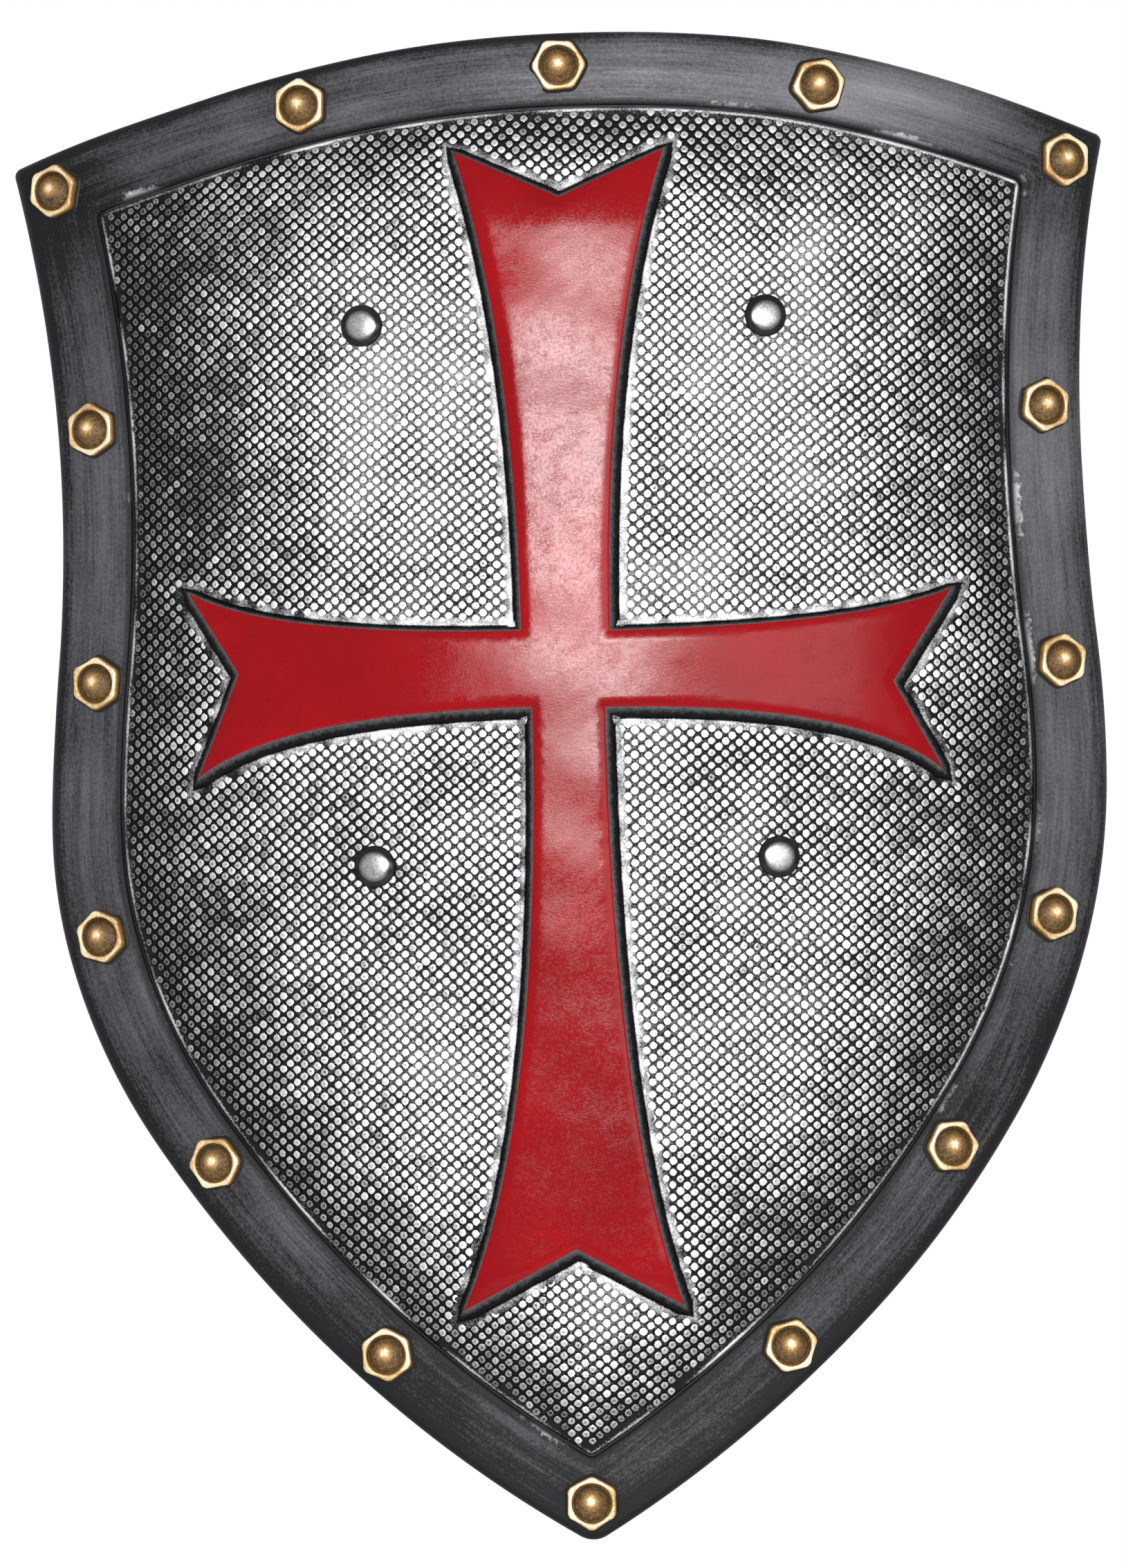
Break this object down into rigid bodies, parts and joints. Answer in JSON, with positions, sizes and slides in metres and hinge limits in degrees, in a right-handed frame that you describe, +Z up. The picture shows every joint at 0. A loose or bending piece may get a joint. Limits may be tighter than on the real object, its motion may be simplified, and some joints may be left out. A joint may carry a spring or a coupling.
{
  "type": "heater shield",
  "caption": "Curved foam heater shield with a raised cross, beaded padded field, studded border, hand grip and buckled forearm strap.",
  "frame": {"origin": "on the back face, midway between the four posts that hold the arm straps, where the forearm lies", "axes": "+Z up towards the top edge, the front faces -Y, +Y out of the back towards the bearer, +X to the right as seen from the front"},
  "size_m": [0.5106, 0.156, 0.6981],
  "materials": {
    "black_foam": "matt black latex over closed-cell foam",
    "core_sheet": "plain semi-rigid sheet",
    "pad_foam": "closed-cell foam",
    "silver_latex": "beaded latex skin, drybrushed silver over black",
    "gunmetal_latex": "brushed gunmetal paint on latex, satin",
    "red_latex": "satin red paint on grained latex",
    "gold_latex": "old gold drybrushed over dark brown",
    "polished_steel": "polished",
    "brown_leather": "vegetable-tanned, waxed, dark edges",
    "grip_leather": "soft dark leather with stitched seam",
    "brass_rivets": "aged",
    "buckle_steel": "worn nickel"
  },
  "bodies": {
    "shield": {"back_foam": "black_foam", "rim_foam": "black_foam", "front_foam": "black_foam", "core_sheet": "core_sheet", "field_pad": "pad_foam", "field_skin": "silver_latex", "border_band": "gunmetal_latex", "cross": "red_latex", "hand_grip_strap": "brown_leather", "hand_grip_sleeve": "grip_leather", "forearm_strap_buckle_half": "brown_leather", "forearm_strap_hole_half": "brown_leather", "strap_keeper": "brown_leather", "fold_rivets": "brass_rivets", "stud_01": "gold_latex", "stud_02": "gold_latex", "stud_03": "gold_latex", "stud_04": "gold_latex", "stud_05": "gold_latex", "stud_06": "gold_latex", "stud_07": "gold_latex", "stud_08": "gold_latex", "stud_09": "gold_latex", "stud_10": "gold_latex", "stud_11": "gold_latex", "stud_12": "gold_latex", "stud_13": "gold_latex", "stud_14": "gold_latex", "stud_15": "gold_latex", "stud_16": "gold_latex", "post_cap_1": "polished_steel", "post_cap_2": "polished_steel", "post_cap_3": "polished_steel", "post_cap_4": "polished_steel", "post_washer_1": "polished_steel", "post_washer_2": "polished_steel", "post_washer_3": "polished_steel", "post_washer_4": "polished_steel", "post_screw_1": "polished_steel", "post_screw_2": "polished_steel", "post_screw_3": "polished_steel", "post_screw_4": "polished_steel"},
    "buckle_frame": {"buckle_frame": "buckle_steel"},
    "buckle_roller": {"buckle_roller": "buckle_steel"},
    "buckle_prong": {"buckle_prong": "buckle_steel"}
  },
  "joints": [
    {"name": "buckle_swing", "type": "hinge", "parent": "shield", "child": "buckle_frame", "pos_m": [0.0768, 0.07061, 0.0025], "axis": [0.9857, 0.1685, 0], "range_deg": [-120, 30]},
    {"name": "prong_lift", "type": "hinge", "parent": "buckle_frame", "child": "buckle_prong", "pos_m": [0.0768, 0.07061, 0.0025], "axis": [0.9857, 0.1685, 0], "range_deg": [0, 85]},
    {"name": "roller_spin", "type": "hinge", "parent": "buckle_frame", "child": "buckle_roller", "pos_m": [0.0768, 0.07061, -0.0235], "axis": [0.9857, 0.1685, 0], "continuous": true}
  ]
}
